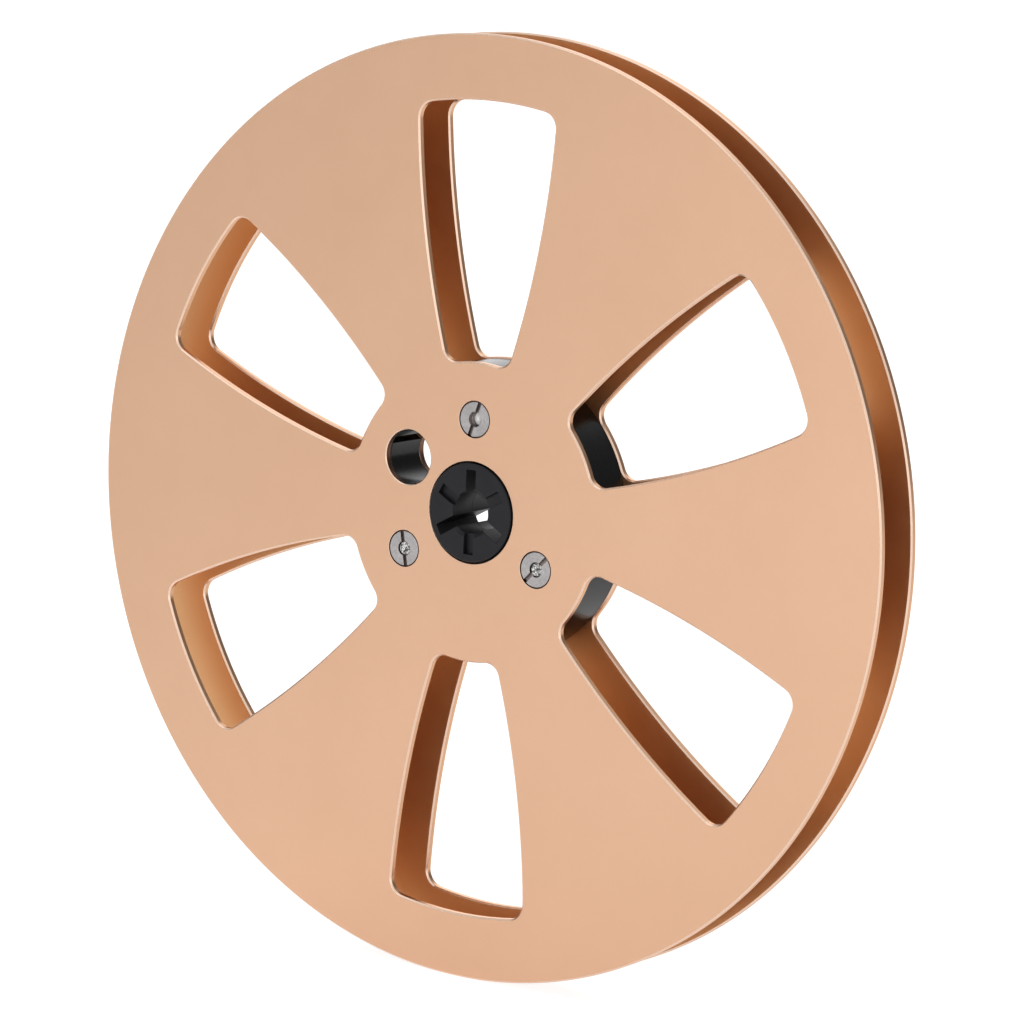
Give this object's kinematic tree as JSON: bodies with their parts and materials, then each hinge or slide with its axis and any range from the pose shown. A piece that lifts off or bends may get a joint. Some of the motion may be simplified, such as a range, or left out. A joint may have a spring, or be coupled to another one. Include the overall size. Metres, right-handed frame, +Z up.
{
  "type": "open tape reel",
  "caption": "Open reel for quarter-inch recording tape: flat windowed flanges clamped on a drum hub by slotted sleeve nuts and screws, with a slotted bush for the deck's spindle.",
  "frame": {"origin": "on the spin axis, midway between the flanges", "axes": "+Y along the spin axis from the front face to the rear face, +Z up through the middle of a window and the first fastener, +X to the right seen from the front"},
  "size_m": [0.1778, 0.0128, 0.1778],
  "materials": {
    "flange_anodised": "fine bead-blasted, copper-coloured anodising, with bright turned edge breaks",
    "hub_black": "satin black anodising",
    "bush_plastic": "satin moulded black plastic",
    "fastener_nickel": "turned and nickel plated"
  },
  "bodies": {
    "reel": {"front_flange": "flange_anodised", "rear_flange": "flange_anodised", "hub_core": "hub_black", "front_spindle_bush": "bush_plastic", "rear_spindle_bush": "bush_plastic"},
    "nut_1": {"sleeve_nut_1": "fastener_nickel"},
    "screw_1": {"clamp_screw_1": "fastener_nickel"},
    "nut_2": {"sleeve_nut_2": "fastener_nickel"},
    "screw_2": {"clamp_screw_2": "fastener_nickel"},
    "nut_3": {"sleeve_nut_3": "fastener_nickel"},
    "screw_3": {"clamp_screw_3": "fastener_nickel"}
  },
  "joints": [
    {"name": "nut_1_turn", "type": "hinge", "parent": "reel", "child": "nut_1", "pos_m": [0, 0, 0.01755], "axis": [0, -1, 0], "range_deg": [0, 5765]},
    {"name": "screw_1_draw", "type": "slide", "parent": "reel", "child": "screw_1", "axis": [0, 1, 0], "range_m": [0, 0.008]},
    {"name": "nut_2_turn", "type": "hinge", "parent": "reel", "child": "nut_2", "pos_m": [-0.0152, 0, -0.00877], "axis": [0, -1, 0], "range_deg": [0, 5765]},
    {"name": "screw_2_draw", "type": "slide", "parent": "reel", "child": "screw_2", "axis": [0, 1, 0], "range_m": [0, 0.008]},
    {"name": "nut_3_turn", "type": "hinge", "parent": "reel", "child": "nut_3", "pos_m": [0.0152, 0, -0.00877], "axis": [0, -1, 0], "range_deg": [0, 5765]},
    {"name": "screw_3_draw", "type": "slide", "parent": "reel", "child": "screw_3", "axis": [0, 1, 0], "range_m": [0, 0.008]}
  ],
  "couplings": [
    {"joint": "nut_1_turn", "follows": "screw_1_draw", "rad_per_m": 12566},
    {"joint": "nut_2_turn", "follows": "screw_2_draw", "rad_per_m": 12566},
    {"joint": "nut_3_turn", "follows": "screw_3_draw", "rad_per_m": 12566}
  ]
}
